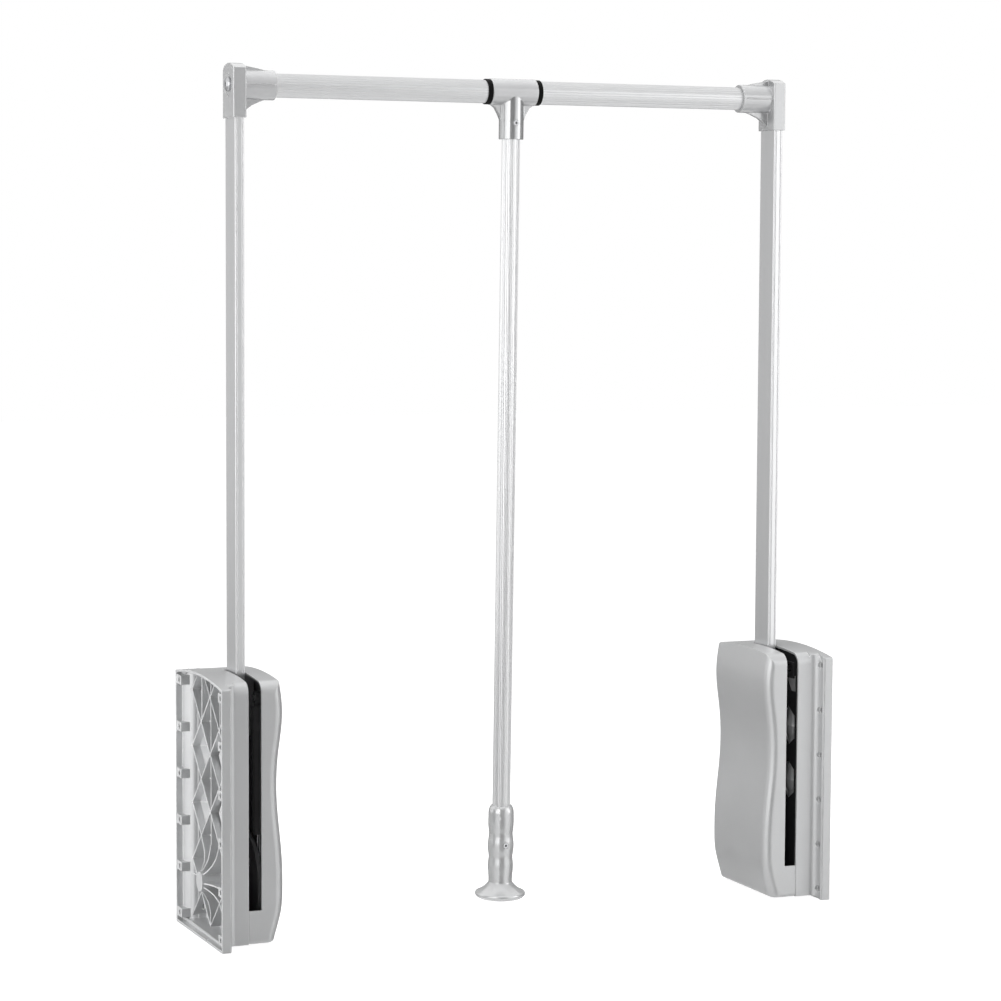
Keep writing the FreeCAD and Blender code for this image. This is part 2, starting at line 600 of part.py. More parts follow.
def corner_connector():
    """The cast elbow: a sleeve over the arm, a socket for the bar and two webs."""
    outer_thick = ARM_THICK + 2 * BLOCK_SIDE
    inner_face = ARM_END + BLOCK_SIDE
    sleeve = flat_section(outer_thick, BLOCK_DEPTH, ARM_CORNER, BLOCK_BOTTOM, BLOCK_TOP)
    half = BLOCK_DEPTH / 2
    crown = peg(BLOCK_CROWN, 20, 60, 0, BLOCK_TOP - BLOCK_CROWN)
    keep = box((20, 60), (-half, half), (BLOCK_BOTTOM, BLOCK_TOP)).common(crown)
    rear = [edge for edge in keep.Edges
            if along_x(edge) and edge.BoundBox.YMin > half - 1 and edge.BoundBox.ZMin > BLOCK_TOP - 10]
    sleeve = sleeve.common(keep.makeFillet(BLOCK_CORNER, rear))
    socket = peg(SOCKET_RADIUS, inner_face - 2, SOCKET_END, 0, BAR_Z)
    ridge_reach = SOCKET_RADIUS + PARTING_RIDGE
    ridge = box((inner_face - 1, SOCKET_END - 3), (-ridge_reach, ridge_reach), (BAR_Z - 0.6, BAR_Z + 0.6))
    upper = web([(inner_face - 1, BLOCK_TOP - 1), (50, BLOCK_TOP - 2.6), (60, BLOCK_TOP - 4.4),
                 (70, BAR_Z + SOCKET_RADIUS - 0.6), (70, BAR_Z), (inner_face - 1, BAR_Z)], (-4, 4))
    lower = web([(inner_face - 1, BLOCK_BOTTOM + 3), (49.5, 817), (56, 822), (64, 825.6), (72, 828.4),
                 (72, BAR_Z), (inner_face - 1, BAR_Z)], (-2.5, 2.5))
    solid = joined([sleeve, socket, ridge, upper, lower])
    pocket = flat_section(ARM_THICK, ARM_DEPTH, ARM_CORNER, BLOCK_BOTTOM - 1, ARM_TOP)
    recess = peg(CONNECTOR_RECESS, 20, SCREW_FACE, 0, BAR_Z)
    bore = peg(BAR_RADIUS, BAR_START, SOCKET_END + 1, 0, BAR_Z)
    shank = peg(CONNECTOR_SHANK, SCREW_FACE - 1, BAR_START + 1, 0, BAR_Z)
    return solid.cut(Part.makeCompound([pocket.fuse(shank), recess, bore]))


def connector_screw():
    """The button-head screw that clamps arm, connector and bar plug."""
    dome = Part.makeSphere(9.2, Vec(SCREW_FACE + 4.2, 0, BAR_Z))
    head = peg(7.0, SCREW_FACE - 4.2, SCREW_FACE, 0, BAR_Z).common(dome)
    shank = peg(CONNECTOR_SHANK, SCREW_FACE - 0.5, BAR_START + 14, 0, BAR_Z)
    return joined([head, shank]).cut(hex_socket(SCREW_FACE - 6.0, 0, BAR_Z, 2.3, 4.0))


def bar_plug():
    """The tapped plug in the outer end of the bar tube."""
    return tube(BAR_BORE, CONNECTOR_SHANK, BAR_START, BAR_START + 22, 0, BAR_Z)


def fluted_profile(radius, x, along):
    """A round face with fine flutes, square to the direction given."""
    groove = 0.35
    step = 2 * math.pi / FLUTES
    edges = []

    def at(turn, distance):
        first, second = distance * math.cos(turn), distance * math.sin(turn)
        return Vec(x, first, second) if along.x else Vec(first, second, 0)

    for number in range(FLUTES):
        turn = number * step
        crest = [at(turn + share * step, radius) for share in (0, 0.3, 0.6)]
        hollow = [crest[2], at(turn + 0.8 * step, radius - groove), at(turn + step, radius)]
        edges.append(Part.Arc(*crest).toShape())
        edges.append(Part.Arc(*hollow).toShape())
    return Part.Face(Part.Wire(edges))


def bar_tube(end):
    """One outer tube of the bar, fluted outside, up to the ring beside the T piece."""
    along = Vec(end - SOCKET_END, 0, 0)
    outer = fluted_profile(BAR_RADIUS, SOCKET_END, along).extrude(along)
    outer.translate(Vec(0, 0, BAR_Z))
    outer = joined([outer, peg(BAR_RADIUS, BAR_START, SOCKET_END + 0.5, 0, BAR_Z)])
    return outer.cut(peg(BAR_BORE, BAR_START - 1, end + 1, 0, BAR_Z))


def end_ring(end):
    """The black ring that closes the bar tube beside the T piece."""
    return tube(BAR_RADIUS + 1.1, CENTRE_RADIUS + 0.15, end, end + RING_LENGTH, 0, BAR_Z)


# ---------------------------------------------------------------- middle of the bar, pull rod
def centre_tube():
    return tube(CENTRE_RADIUS, CENTRE_BORE, TEE_X - CENTRE_LENGTH / 2, TEE_X + CENTRE_LENGTH / 2, 0, BAR_Z)


def snap_rings():
    """Two rings on the inner tube that keep the T piece in the middle."""
    rings = []
    for side in (-1, 1):
        middle = TEE_X + side * (TEE_LENGTH / 2 - 1.5)
        rings.append(tube(11.2, CENTRE_RADIUS, middle - 0.5, middle + 0.5, 0, BAR_Z))
    return Part.makeCompound(rings)


def tee_piece():
    """The cast T: a sleeve round the bar, a stem for the pull rod and two webs."""
    half = TEE_LENGTH / 2
    sleeve = peg(TEE_RADIUS, TEE_X - half, TEE_X + half, 0, BAR_Z)
    stem = post(STEM_RADIUS, TEE_X, 0, STEM_BOTTOM, BAR_Z)
    gusset = web([(TEE_X - half + 1, BAR_Z), (TEE_X - half + 1, 829.5), (TEE_X - 19, 826),
                  (TEE_X - 15.5, 820), (TEE_X - 12, 812), (TEE_X + 12, 812), (TEE_X + 15.5, 820),
                  (TEE_X + 19, 826),
                  (TEE_X + half - 1, 829.5), (TEE_X + half - 1, BAR_Z)], (-2.5, 2.5))
    solid = joined([sleeve, stem, gusset])
    holes = [peg(CENTRE_RADIUS + RUNNING, TEE_X - 40, TEE_X + 40, 0, BAR_Z)]
    holes.append(post(PULL_RADIUS, TEE_X, 0, STEM_BOTTOM - 1, PULL_TOP))
    holes += set_screw_hole(TEE_SCREW_Z, TEE_SCREW_SEAT)
    for side in (-1, 1):
        middle = TEE_X + side * (half - 0.5)
        holes.append(peg(11.6, middle - 2.1, middle + 2.1, 0, BAR_Z))
    return solid.cut(Part.makeCompound(holes))


def set_screw_hole(z, seat):
    """The hole for a set screw from the front, with a flat for its head."""
    hole = Part.makeCylinder(SET_SCREW, 20, Vec(TEE_X, -20, z), Vec(0, 1, 0))
    flat = Part.makeCylinder(SET_HEAD + 0.2, 20, Vec(TEE_X, -seat - 20, z), Vec(0, 1, 0))
    return [hole, flat]


def set_screw(z, seat):
    """A small socket screw that points back into the pull rod."""
    face = seat + 1.3
    head = Part.makeCylinder(SET_HEAD, face - seat, Vec(TEE_X, -face, z), Vec(0, 1, 0))
    shank = Part.makeCylinder(SET_SCREW, seat - PULL_BORE + 1.5, Vec(TEE_X, -seat - 0.5, z), Vec(0, 1, 0))
    socket = Part.makeCylinder(SET_SOCKET, SET_SOCKET_DEPTH + 1, Vec(TEE_X, -face - 1, z), Vec(0, 1, 0))
    return joined([head, shank]).cut(socket)


def tee_screw():
    """The screw that holds the pull rod in the T piece."""
    return set_screw(TEE_SCREW_Z, TEE_SCREW_SEAT)


def pull_rod():
    """The fluted pull rod."""
    along = Vec(0, 0, PULL_TOP - PULL_BOTTOM)
    rod = fluted_profile(PULL_RADIUS, 0, along).extrude(along)
    rod.translate(Vec(TEE_X, 0, PULL_BOTTOM))
    bore = post(PULL_BORE, TEE_X, 0, PULL_BOTTOM - 1, PULL_TOP + 1)
    screws = set_screw_hole(TEE_SCREW_Z, TEE_SCREW_SEAT) + set_screw_hole(GRIP_SCREW_Z, GRIP_SCREW_SEAT)
    return rod.cut(Part.makeCompound([bore] + screws))


def grip():
    """The handle: finger swells, a crisp edge and a flared foot, turned round the pull rod."""
    outline = [(10.6, GRIP_TOP), (12.6, 103.5), (13.3, 96.0), (13.0, 84.0), (12.4, 78.0), (13.2, 70.0),
               (13.2, 60.0), (12.4, 53.5), (13.1, 46.0), (12.5, 34.0), (12.3, 26.5)]
    profile = [Vec(radius, 0, z) for radius, z in outline]
    curve = Part.BSplineCurve()
    curve.interpolate(profile)
    rim_top = Vec(25.0, 0, 16.4)
    rim_foot = Vec(25.4, 0, 12.4)
    cone = Part.Arc(profile[-1], Vec(18.6, 0, 20.0), rim_top).toShape()
    rim = Part.Arc(rim_top, Vec(26.2, 0, 14.3), rim_foot).toShape()
    loop = Part.makePolygon([rim_foot, Vec(23.6, 0, GRIP_BOTTOM), Vec(0, 0, GRIP_BOTTOM),
                             Vec(0, 0, GRIP_TOP), profile[0]])
    face = Part.Face(Part.Wire([curve.toShape(), cone, rim] + loop.Edges))
    solid = face.revolve(Vec(0, 0, 0), Vec(0, 0, 1), 360)
    solid.translate(Vec(TEE_X, 0, 0))
    bore = post(PULL_RADIUS, TEE_X, 0, PULL_BOTTOM, GRIP_TOP + 1)
    return solid.cut(Part.makeCompound([bore] + set_screw_hole(GRIP_SCREW_Z, GRIP_SCREW_SEAT)))


def grip_screw():
    """The small screw that holds the grip on the pull rod."""
    return set_screw(GRIP_SCREW_Z, GRIP_SCREW_SEAT)


# ---------------------------------------------------------------- placing and writing
def write(name, shape):
    """One STEP file per sub-part."""
    for number, solid in enumerate(shape.Solids):
        if not solid.isValid():
            print("NOT VALID:", name, "solid", number)
    shape.exportStep(os.path.join("parts", name + ".step"))
    written.append((name, shape))


def write_side(name, shape):
    """The same sub-part for the left side and, mirrored, for the right side."""
    left = shape.copy()
    left.translate(Vec(-HALF_WIDTH, 0, 0))
    right = shape.mirror(Vec(0, 0, 0), Vec(1, 0, 0))
    right.translate(Vec(HALF_WIDTH, 0, 0))
    write("left_" + name, left)
    write("right_" + name, right)


def write_leaning(name, shape):
    """A sub-part of the pull rod, hanging back by the lean."""
    shape.rotate(Vec(0, 0, BAR_Z), Vec(1, 0, 0), ROD_LEAN)
    write(name, shape)


def write_bar_end(name, maker):
    """A sub-part of the bar that reaches from a corner to the T piece in the middle."""
    reach = TEE_LENGTH / 2 + RING_GAP + RING_LENGTH
    left = maker(HALF_WIDTH + TEE_X - reach)
    left.translate(Vec(-HALF_WIDTH, 0, 0))
    right = maker(HALF_WIDTH - TEE_X - reach).mirror(Vec(0, 0, 0), Vec(1, 0, 0))
    right.translate(Vec(HALF_WIDTH, 0, 0))
    write("left_" + name, left)
    write("right_" + name, right)


def main():
    os.makedirs("parts", exist_ok=True)
    side_parts = [
        ("mount_shell", mount_shell), ("guide_plate", guide_plate), ("inner_cover", inner_cover),
        ("cover_screws", cover_screws), ("plate_screws", plate_screws), ("pivot_axle", pivot_axle),
        ("thrust_washer", thrust_washer), ("pivot_bush", pivot_bush), ("hub_disc", hub_disc),
        ("hub_rivets", hub_rivets), ("crank_pin", crank_pin), ("rod_yoke", rod_yoke),
        ("spring_rod", spring_rod), ("spring_cylinder", spring_cylinder), ("anchor_pin", anchor_pin),
        ("arm_buffer", arm_buffer), ("arm_tube", arm_tube), ("corner_connector", corner_connector),
        ("connector_screw", connector_screw), ("bar_plug", bar_plug)]
    for name, maker in side_parts:
        write_side(name, maker())
    write_bar_end("bar_tube", bar_tube)
    write_bar_end("end_ring", end_ring)
    write("centre_tube", centre_tube())
    write("snap_rings", snap_rings())
    for name, maker in [("tee_piece", tee_piece), ("tee_screw", tee_screw), ("pull_rod", pull_rod),
                        ("grip", grip), ("grip_screw", grip_screw)]:
        write_leaning(name, maker())
    whole = Part.makeCompound([shape for _, shape in written]).BoundBox
    print(len(written), "parts, box", whole)


main()
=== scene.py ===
# %% [markdown]
# # A pull down closet rod, dressed for its portrait
# Two moulded housings are screwed to the facing walls of a wardrobe. A flat arm swings in each one, and the
# arms carry a hanging bar that is drawn forward and down by a rod with a grip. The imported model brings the
# solids of every piece in metres, with X along the bar, Y into the wardrobe and Z up. The lesson keeps them
# where they are, rounds their edges, rebuilds the twisted pull rod and gives every piece its own finish.

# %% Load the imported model
import json
import math
import bmesh
import bpy
from mathutils import Matrix, Vector


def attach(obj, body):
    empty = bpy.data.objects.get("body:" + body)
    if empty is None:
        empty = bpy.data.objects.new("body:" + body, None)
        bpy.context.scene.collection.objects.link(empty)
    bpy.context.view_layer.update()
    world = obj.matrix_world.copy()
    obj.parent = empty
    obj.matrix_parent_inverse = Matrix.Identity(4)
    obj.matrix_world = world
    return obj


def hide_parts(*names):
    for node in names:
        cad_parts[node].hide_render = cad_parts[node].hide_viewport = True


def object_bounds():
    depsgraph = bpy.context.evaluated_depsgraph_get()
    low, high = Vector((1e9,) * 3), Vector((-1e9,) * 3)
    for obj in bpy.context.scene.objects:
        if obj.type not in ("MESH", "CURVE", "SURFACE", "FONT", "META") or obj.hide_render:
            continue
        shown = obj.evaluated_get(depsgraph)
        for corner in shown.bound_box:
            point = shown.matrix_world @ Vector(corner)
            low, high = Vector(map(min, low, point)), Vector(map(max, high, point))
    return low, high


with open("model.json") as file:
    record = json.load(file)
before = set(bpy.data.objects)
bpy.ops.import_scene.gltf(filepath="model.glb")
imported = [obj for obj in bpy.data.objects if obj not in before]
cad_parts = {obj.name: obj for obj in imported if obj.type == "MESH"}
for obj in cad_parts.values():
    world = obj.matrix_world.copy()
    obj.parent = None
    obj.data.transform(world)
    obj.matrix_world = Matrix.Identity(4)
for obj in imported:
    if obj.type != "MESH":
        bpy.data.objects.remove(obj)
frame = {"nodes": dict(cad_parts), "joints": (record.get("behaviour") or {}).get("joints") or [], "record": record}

cad_box = [list(corner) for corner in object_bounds()]
nodes = frame["nodes"]
print("loaded", len(nodes), "nodes, box", cad_box)

# %% [markdown]
# ## Measures
# Blender works in metres, while a maker thinks of this hardware in millimetres. One constant turns the one
# into the other. The places of the bar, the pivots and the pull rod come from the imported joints, so that
# nothing in the lesson has to repeat them.

# %% Measures taken from the joints
MM = 0.001
SIDES = ("left_", "right_")
joints = {joint["name"]: joint for joint in frame["joints"]}
bar_middle = Vector(joints["pull_rod_swing"]["pos_m"])
pivots = {side: Vector(joints[side + "arm_swing"]["pos_m"]) for side in SIDES}
print("bar at height", bar_middle.z, "pivots at", pivots)

# %% [markdown]
# ## The camera
# A camera in Blender looks along its own negative Z axis. Here its direction is worked out from three
# angles: how far it turns to the right, how far it dips and how far it leans. A long lens from three metres
# keeps the upright arms nearly parallel.

# %% Camera
CAMERA_PLACE = Vector((-1.18502, -2.78997, 0.67592))
CAMERA_TURN = math.radians(22.805)
CAMERA_DIP = math.radians(-4.705)
CAMERA_LEAN = math.radians(0.302)
SENSOR = 36.0          # width in millimetres
LENS = 106.6
NEAREST = 0.05
FURTHEST = 60.0


def aim(place, turn, dip, lean):
    """The matrix of a camera that stands at a place and looks along the given angles."""
    ahead = Vector((math.sin(turn) * math.cos(dip), math.cos(turn) * math.cos(dip), math.sin(dip)))
    level = Vector((math.cos(turn), -math.sin(turn), 0.0))
    upward = level.cross(ahead)
    across = level * math.cos(lean) + upward * math.sin(lean)
    upright = upward * math.cos(lean) - level * math.sin(lean)
    rows = Matrix((across, upright, -ahead)).transposed()
    return Matrix.Translation(place) @ rows.to_4x4()


camera_data = bpy.data.cameras.new("portrait_camera")
camera_data.sensor_width = SENSOR
camera_data.lens = LENS
camera_data.clip_start = NEAREST
camera_data.clip_end = FURTHEST
camera = bpy.data.objects.new("portrait_camera", camera_data)
camera.matrix_world = aim(CAMERA_PLACE, CAMERA_TURN, CAMERA_DIP, CAMERA_LEAN)
bpy.context.scene.collection.objects.link(camera)
bpy.context.scene.camera = camera
print("camera", round((bar_middle - CAMERA_PLACE).length, 3), "m from the middle of the bar")

# %% [markdown]
# ## Building node trees in a few lines
# Every finish below is a tree of shader nodes. One helper adds a node, sets its switches and fills its
# inputs: a plain value goes into the socket, and another node's output is wired to it.

# %% Helper for shader nodes


def put(tree, kind, inputs=None, **switches):
    """Adds a node; each input takes a value or another node's output."""
    node = tree.nodes.new(kind)
    for name, value in switches.items():
        setattr(node, name, value)
    for name, value in (inputs or {}).items():
        if isinstance(value, bpy.types.NodeSocket):
            tree.links.new(value, node.inputs[name])
        else:
            node.inputs[name].default_value = value
    return node


def maths(tree, operation, first, second=0.0, third=0.0, clamp=False):
    """One Math node, by its operation and its values."""
    node = put(tree, "ShaderNodeMath", {0: first, 1: second, 2: third}, operation=operation, use_clamp=clamp)
    return node.outputs[0]


def blended(tree, factor, first, second, blend_type="MIX"):
    """A colour between two others."""
    node = put(tree, "ShaderNodeMix", {0: factor, 6: first, 7: second},
               data_type="RGBA", blend_type=blend_type)
    return node.outputs[2]


def new_group(name, inputs, outputs):
    """An empty node group with its sockets; inputs give a kind and a starting value."""
    tree = bpy.data.node_groups.new(name, "ShaderNodeTree")
    for label, (kind, value) in inputs.items():
        tree.interface.new_socket(label, in_out="INPUT", socket_type=kind).default_value = value
    for label, kind in outputs.items():
        tree.interface.new_socket(label, in_out="OUTPUT", socket_type=kind)
    return tree, tree.nodes.new("NodeGroupInput").outputs, tree.nodes.new("NodeGroupOutput")


def texture(tree, place, scale, detail=2.0):
    """The value of a noise texture."""
    return put(tree, "ShaderNodeTexNoise", {"Vector": place, "Scale": scale, "Detail": detail}).outputs[0]


def ranged(tree, value, low, high, first=0.0, last=1.0):
    """A Map Range node: low becomes first and high becomes last."""
    return put(tree, "ShaderNodeMapRange", {0: value, 1: low, 2: high, 3: first, 4: last}).outputs[0]


NUMBER = "NodeSocketFloat"
POINT = "NodeSocketVector"
print("helpers ready")

# %% [markdown]
# ## The stage
# The part stands on a white studio floor. A plain white floor would need far too much light to render
# white, so most of its brightness comes from an emission that only the camera and the mirror-like rays
# see. A share of ordinary diffuse colour stays in the mix, and that share carries the soft shadow. The
# floor itself is left out of reflections, because the metal gets surroundings of its own further down.

# %% Floor
FLOOR_REACH = 9.0
FLOOR_GLOW = 0.92
FLOOR_SHADE = 0.36
FLOOR_BOUNCE = 0.7
FLOOR_GAP = 0.5 * MM

floor_mesh = bpy.data.meshes.new("studio_floor")
corners = [(x, y, 0.0) for x, y in ((-1, -1), (1, -1), (1, 1), (-1, 1))]
floor_mesh.from_pydata([Vector(c) * FLOOR_REACH for c in corners], [], [(0, 1, 2, 3)])
floor = bpy.data.objects.new("studio_floor", floor_mesh)
floor.location.z = cad_box[0][2] - FLOOR_GAP
bpy.context.scene.collection.objects.link(floor)
floor.visible_glossy = False

floor_material = bpy.data.materials.new("studio_white")
floor_material.use_nodes = True
tree = floor_material.node_tree
tree.nodes.clear()


def seen_rays(tree):
    """One for rays that show a background: camera, glossy and transmission rays."""
    path = tree.nodes.new("ShaderNodeLightPath").outputs
    total = maths(tree, "ADD", path["Is Camera Ray"], path["Is Glossy Ray"])
    return maths(tree, "ADD", total, path["Is Transmission Ray"], clamp=True)


shade = put(tree, "ShaderNodeBsdfDiffuse", {"Color": (FLOOR_SHADE, FLOOR_SHADE, FLOOR_SHADE, 1)})
glow = put(tree, "ShaderNodeEmission", {"Strength": FLOOR_GLOW})
seen = put(tree, "ShaderNodeAddShader", {0: shade.outputs[0], 1: glow.outputs[0]})
bounce = put(tree, "ShaderNodeBsdfDiffuse", {"Color": (FLOOR_BOUNCE, FLOOR_BOUNCE, FLOOR_BOUNCE, 1)})
choice = put(tree, "ShaderNodeMixShader", {0: seen_rays(tree), 1: bounce.outputs[0], 2: seen.outputs[0]})
put(tree, "ShaderNodeOutputMaterial", {"Surface": choice.outputs[0]})
floor_mesh.materials.append(floor_material)
print("floor at", round(floor.location.z, 5))

# %% [markdown]
# ## The world
# The world is white for every ray that shows it, so metal mirrors a white studio. For plain light it is
# dimmer, and the lamps add the direction.

# %% World
WORLD_LIGHT = 0.30

world = bpy.data.worlds.new("studio")
world.use_nodes = True
bpy.context.scene.world = world
tree = world.node_tree
tree.nodes.clear()
strength = ranged(tree, seen_rays(tree), 0.0, 1.0, WORLD_LIGHT, 1.0)
light = put(tree, "ShaderNodeBackground", {"Color": (1, 1, 1, 1), "Strength": strength})
put(tree, "ShaderNodeOutputWorld", {"Surface": light.outputs[0]})
print("world light", WORLD_LIGHT)

# %% [markdown]
# ## Lamps
# Five lamps light the part: a key from the front, a weak fill from the left, a small low one that reaches
# into the lattice of the left housing and leaves the right one in its shadow, a wide one overhead for the
# top faces, and a narrow spot from the front left that looks into the slot of the right housing. They give
# the plain light and the shadow, and stay out of reflections.

# %% Lamps
SOFT_BOXES = {
    "key": dict(place=(-0.9, -2.6, 0.9), size=(1.0, 1.0), power=2.0),
    "fill": dict(place=(-1.7, -0.35, 0.35), size=(0.9, 0.5), power=1.0),
    "low": dict(place=(-1.5, -0.03, 0.2), size=(0.12, 0.12), power=14.0),
    "top": dict(place=(-0.1, 0.1, 2.5), size=(1.6, 1.6), power=65.0),
}
BOX_AIM = Vector((0, 0, 0.35))
SPOT_PLACE = Vector((-1.15, -2.22, 0.45))
SPOT_AIM = Vector((0.32, 0, 0.25))
SPOT_POWER = 75.0
SPOT_CONE = math.radians(16)
SPOT_RADIUS = 0.12


def lamp(name, kind, place, target, power):
    """A lamp that points at a target and isn't seen in reflections."""
    data = bpy.data.lights.new("lamp_" + name, kind)
    data.energy = power
    item = bpy.data.objects.new("lamp_" + name, data)
    item.location = place
    item.rotation_euler = (target - item.location).to_track_quat("-Z", "Y").to_euler()
    item.visible_glossy = False
    bpy.context.scene.collection.objects.link(item)
    return data


for name, box in SOFT_BOXES.items():
    data = lamp(name, "AREA", box["place"], BOX_AIM, box["power"])
    data.shape = "RECTANGLE"
    data.size, data.size_y = box["size"]
spot = lamp("spot", "SPOT", SPOT_PLACE, SPOT_AIM, SPOT_POWER)
spot.spot_size = SPOT_CONE
spot.spot_blend = 1.0
spot.shadow_soft_size = SPOT_RADIUS
bpy.context.scene.view_settings.view_transform = "Standard"

# %% [markdown]
# ## A ring of reflections
# Satin metal shows its surroundings more than its own colour. A photographer puts tall white diffusers and
# dark flags round such a part, so that each tube gets bright streaks between dark ones. Here they are one
# bent strip round the part. A table says how bright it is in each direction, and only mirror-like rays see
# it. The angle is in degrees, measured from the front and positive to the right. The lower part of the strip
# has a table of its own, because the housings near the floor want softer surroundings than the tubes above.

# %% Ring of diffusers and flags
RING_DISTANCE = 3.3
RING_HEIGHTS = (-1.6, -0.15, 0.15, 2.3)
RING_STEP = 2.0
LOW_GLOW = [
    (-180, 0.3), (-160, 0.35), (-152, 0.5), (-135, 0.5), (-100, 0.6), (-82, 0.9), (-60, 1.0), (-48, 1.15),
    (-40, 1.3), (-36, 1.2), (-31, 0.2), (8, 0.2), (15, 1.1), (20, 1.1), (25, 1.3), (27, 1.5), (40, 1.2),
    (66, 1.2), (71, 0.4), (78, 0.3), (174, 0.3), (180, 0.3)]
HIGH_GLOW = [
    (-180, 0.25), (-162, 0.25), (-152, 0.85), (-135, 0.9), (-100, 1.4), (-89, 1.6), (-87, 0.7), (-84, 0.7),
    (-82, 2.0), (-60, 2.2), (-48, 2.8), (-40, 3.0), (-36, 2.4), (-31, 0.2), (8, 0.2), (15, 1.1), (20, 1.1),
    (25, 1.35), (27, 1.6), (40, 1.6), (44, 2.8), (66, 2.8), (71, 0.4), (78, 0.3), (174, 0.3), (180, 0.3)]


def between(table, angle):
    """The value of a table of (angle, value) pairs at an angle."""
    for (low, first), (high, second) in zip(table, table[1:]):
        if low <= angle <= high:
            return first + (second - first) * (angle - low) / (high - low)
    return table[-1][1]


ring_steps = round(360 / RING_STEP)
angles = [-180 + RING_STEP * number for number in range(ring_steps)]
points = []
levels = []
for table, z in zip((LOW_GLOW, LOW_GLOW, HIGH_GLOW, HIGH_GLOW), RING_HEIGHTS):
    for angle in angles:
        turn = math.radians(angle)
        points.append((RING_DISTANCE * math.sin(turn), -RING_DISTANCE * math.cos(turn), z))
        levels.append(between(table, angle))
faces = []
for row in range(len(RING_HEIGHTS) - 1):
    for number in range(ring_steps):
        corners = [row * ring_steps + number, row * ring_steps + (number + 1) % ring_steps]
        faces.append((corners[0], corners[1], corners[1] + ring_steps, corners[0] + ring_steps))
ring_mesh = bpy.data.meshes.new("reflection_ring")
ring_mesh.from_pydata(points, [], faces)
glow = ring_mesh.attributes.new("glow", "FLOAT", "POINT")
for point, level in zip(glow.data, levels):
    point.value = level

ring_material = bpy.data.materials.new("reflection_ring")
ring_material.use_nodes = True
tree = ring_material.node_tree
tree.nodes.clear()
level = put(tree, "ShaderNodeAttribute", attribute_name="glow").outputs["Fac"]
shine = put(tree, "ShaderNodeEmission", {"Strength": level})
put(tree, "ShaderNodeOutputMaterial", {"Surface": shine.outputs[0]})
ring_mesh.materials.append(ring_material)
ring = bpy.data.objects.new("reflection_ring", ring_mesh)
bpy.context.scene.collection.objects.link(ring)
ring.visible_camera = False
ring.visible_diffuse = False
ring.visible_transmission = False
ring.visible_shadow = False
print("ring with", len(faces), "panels")

# %% [markdown]
# ## Shared effects: edge wear and painted edge highlights
# Paint and anodising wear first along the edges. The Bevel node gives the normal that a rounded edge would
# have. Where it turns away from the real normal, there is an edge. A little noise breaks the line up, as
# hands and cartons do. Most finishes give this edge a lighter colour, which is a painted highlight along the
# edge; the darker edge of the bearing bush is wear. A mask painted by hand would look the same, but it could
# not be shared.

# %% Group for edge wear and painted edge highlights
SAME_WAY = 0.995       # the cosine between the two normals where an edge starts
EDGE_TURNED = 0.90     # and where it is fully an edge

tree, given, result = new_group(
    "rubbed edges",
    {"Width": (NUMBER, 0.0008), "Patches": (NUMBER, 60.0), "Amount": (NUMBER, 1.0)},
    {"Mask": NUMBER})
place = put(tree, "ShaderNodeTexCoord").outputs["Object"]
rounded = put(tree, "ShaderNodeBevel", {"Radius": given["Width"]}, samples=4).outputs[0]
facing = put(tree, "ShaderNodeNewGeometry").outputs["Normal"]
match = put(tree, "ShaderNodeVectorMath", {0: rounded, 1: facing}, operation="DOT_PRODUCT").outputs["Value"]
edge = ranged(tree, match, SAME_WAY, EDGE_TURNED)
broken = ranged(tree, texture(tree, place, given["Patches"], 4.0), 0.35, 0.62)
# the mask carries edge wear, and a painted highlight where a finish gives the edge a lighter colour
edge_wear_and_highlight_mask = maths(tree, "MULTIPLY", maths(tree, "MULTIPLY", edge, broken), given["Amount"], clamp=True)
tree.links.new(edge_wear_and_highlight_mask, result.inputs["Mask"])
edge_wear_and_highlight = tree
print("group", tree.name, "with", len(tree.nodes), "nodes")

# %% [markdown]
# ## Shared effects: satin grain
# Silver paint on plastic holds fine metal flakes and dries with a faint orange peel. Two noises do that: a
# very fine one for the flakes and a slow one for the cloudiness that a spray gun leaves.

# %% Group for satin grain
tree, given, result = new_group(
    "satin grain",
    {"Fine scale": (NUMBER, 2600.0), "Broad scale": (NUMBER, 14.0), "Fleck": (NUMBER, 0.1),
     "Cloud": (NUMBER, 0.08)},
    {"Tone": NUMBER, "Height": NUMBER, "Unevenness": NUMBER})
place = put(tree, "ShaderNodeTexCoord").outputs["Object"]
fine = texture(tree, place, given["Fine scale"])
broad = texture(tree, place, given["Broad scale"], 3.0)
flecks = maths(tree, "MULTIPLY", maths(tree, "SUBTRACT", fine, 0.5), given["Fleck"])
clouds = maths(tree, "MULTIPLY", maths(tree, "SUBTRACT", broad, 0.5), given["Cloud"])
tone = maths(tree, "ADD", maths(tree, "ADD", flecks, clouds), 1.0)
tree.links.new(tone, result.inputs["Tone"])
tree.links.new(fine, result.inputs["Height"])
tree.links.new(broad, result.inputs["Unevenness"])
satin_grain = tree
print("group", tree.name, "with", len(tree.nodes), "nodes")

# %% [markdown]
# ## Shared effects: drawn lines
# An extruded tube carries fine lines from the die, all along its length. A noise that is squeezed across
# the tube and stretched along it gives them. The stretch is an input, so one group serves upright arms and
# the lying bar.

# %% Group for drawn lines
tree, given, result = new_group(
    "drawn lines",
    {"Stretch": (POINT, (900.0, 900.0, 7.0)), "Contrast": (NUMBER, 0.12)},
    {"Tone": NUMBER, "Height": NUMBER, "Unevenness": NUMBER})
place = put(tree, "ShaderNodeTexCoord").outputs["Object"]
pulled = put(tree, "ShaderNodeVectorMath", {0: place, 1: given["Stretch"]}, operation="MULTIPLY").outputs[0]
lines = texture(tree, pulled, 1.0, 3.0)
smear = texture(tree, pulled, 0.13)
swing = maths(tree, "MULTIPLY", maths(tree, "SUBTRACT", lines, 0.5), given["Contrast"])
tree.links.new(maths(tree, "ADD", swing, 1.0), result.inputs["Tone"])
tree.links.new(lines, result.inputs["Height"])
tree.links.new(smear, result.inputs["Unevenness"])
drawn_lines = tree
print("group", tree.name, "with", len(tree.nodes), "nodes")

